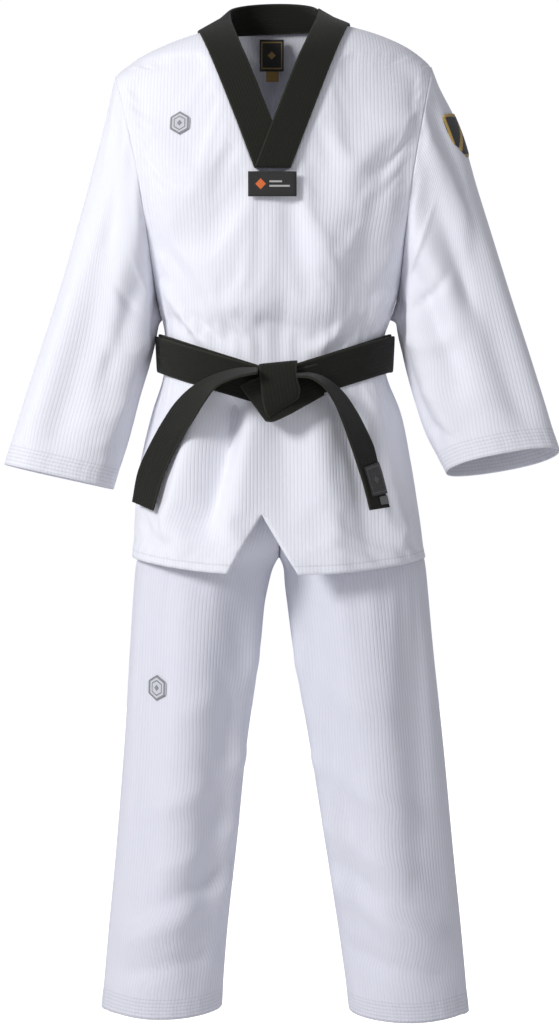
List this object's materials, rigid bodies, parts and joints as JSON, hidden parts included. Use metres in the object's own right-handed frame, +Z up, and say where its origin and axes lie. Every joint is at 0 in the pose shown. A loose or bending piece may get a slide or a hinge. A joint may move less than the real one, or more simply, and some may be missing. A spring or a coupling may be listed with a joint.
{
  "type": "martial arts uniform",
  "caption": "White V-neck martial arts uniform with a black collar, a tied black belt and trousers.",
  "frame": {"origin": "in the neck hole, level with the shoulder seams, where a hanger or stand holds the jacket", "axes": "+Z up along the wearer's body, the front of the jacket faces -Y, +X towards the wearer's left"},
  "size_m": [0.7757, 0.3218, 1.4134],
  "materials": {
    "white_cloth": "matte ribbed cotton blend",
    "collar_cloth": "matte twill",
    "belt_cloth": "matte, row stitched",
    "black_label": "woven label",
    "silver_thread": "embroidery thread",
    "gold_label": "woven label",
    "elastic": "woven elastic"
  },
  "bodies": {
    "jacket": {"jacket_front": "white_cloth", "jacket_back": "white_cloth", "hem_facing_front_right": "white_cloth", "hem_facing_front_left": "white_cloth", "hem_facing_back": "white_cloth", "collar_left_band": "collar_cloth", "collar_right_band": "collar_cloth", "collar_back_stand": "collar_cloth", "collar_point_label": "black_label", "neck_label": "black_label", "size_tab": "gold_label", "chest_emblem": "silver_thread", "belt_inner_turn": "belt_cloth", "belt_outer_turn": "belt_cloth", "belt_knot_loop": "belt_cloth", "belt_knot_fold": "belt_cloth"},
    "right_sleeve_body": {"right_sleeve": "white_cloth", "right_cuff_facing": "white_cloth"},
    "left_sleeve_body": {"left_sleeve": "white_cloth", "left_cuff_facing": "white_cloth", "shoulder_shield": "black_label"},
    "right_tail_body": {"belt_right_tail": "belt_cloth"},
    "left_tail_body": {"belt_left_tail": "belt_cloth", "belt_label": "black_label"},
    "trousers": {"seat_front": "white_cloth", "seat_back": "white_cloth", "crotch_gusset": "white_cloth", "waistband_casing": "white_cloth", "waist_elastic": "elastic"},
    "right_leg": {"right_leg_front": "white_cloth", "right_leg_back": "white_cloth", "right_ankle_facing": "white_cloth", "thigh_emblem": "silver_thread"},
    "left_leg": {"left_leg_front": "white_cloth", "left_leg_back": "white_cloth", "left_ankle_facing": "white_cloth"}
  },
  "joints": [
    {"name": "right_sleeve_lift", "type": "hinge", "parent": "jacket", "child": "right_sleeve_body", "pos_m": [-0.2225, 0, -0.0635], "axis": [0, 1, 0], "range_deg": [0, 65]},
    {"name": "left_sleeve_lift", "type": "hinge", "parent": "jacket", "child": "left_sleeve_body", "pos_m": [0.2185, 0, -0.045], "axis": [0, -1, 0], "range_deg": [0, 65]},
    {"name": "right_tail_lift", "type": "hinge", "parent": "jacket", "child": "right_tail_body", "pos_m": [-0.031, -0.154, -0.473], "axis": [-1, 0, 0], "range_deg": [0, 90]},
    {"name": "left_tail_lift", "type": "hinge", "parent": "jacket", "child": "left_tail_body", "pos_m": [0.038, -0.154, -0.483], "axis": [-1, 0, 0], "range_deg": [0, 90]},
    {"name": "trousers_down", "type": "slide", "parent": "jacket", "child": "trousers", "axis": [0, 0, -1], "range_m": [0, 0.35]},
    {"name": "right_leg_kick", "type": "hinge", "parent": "trousers", "child": "right_leg", "pos_m": [-0.1, -0.084, -0.7485], "axis": [-1, 0, 0], "range_deg": [0, 75]},
    {"name": "left_leg_kick", "type": "hinge", "parent": "trousers", "child": "left_leg", "pos_m": [0.104, -0.084, -0.7485], "axis": [-1, 0, 0], "range_deg": [0, 75]}
  ]
}
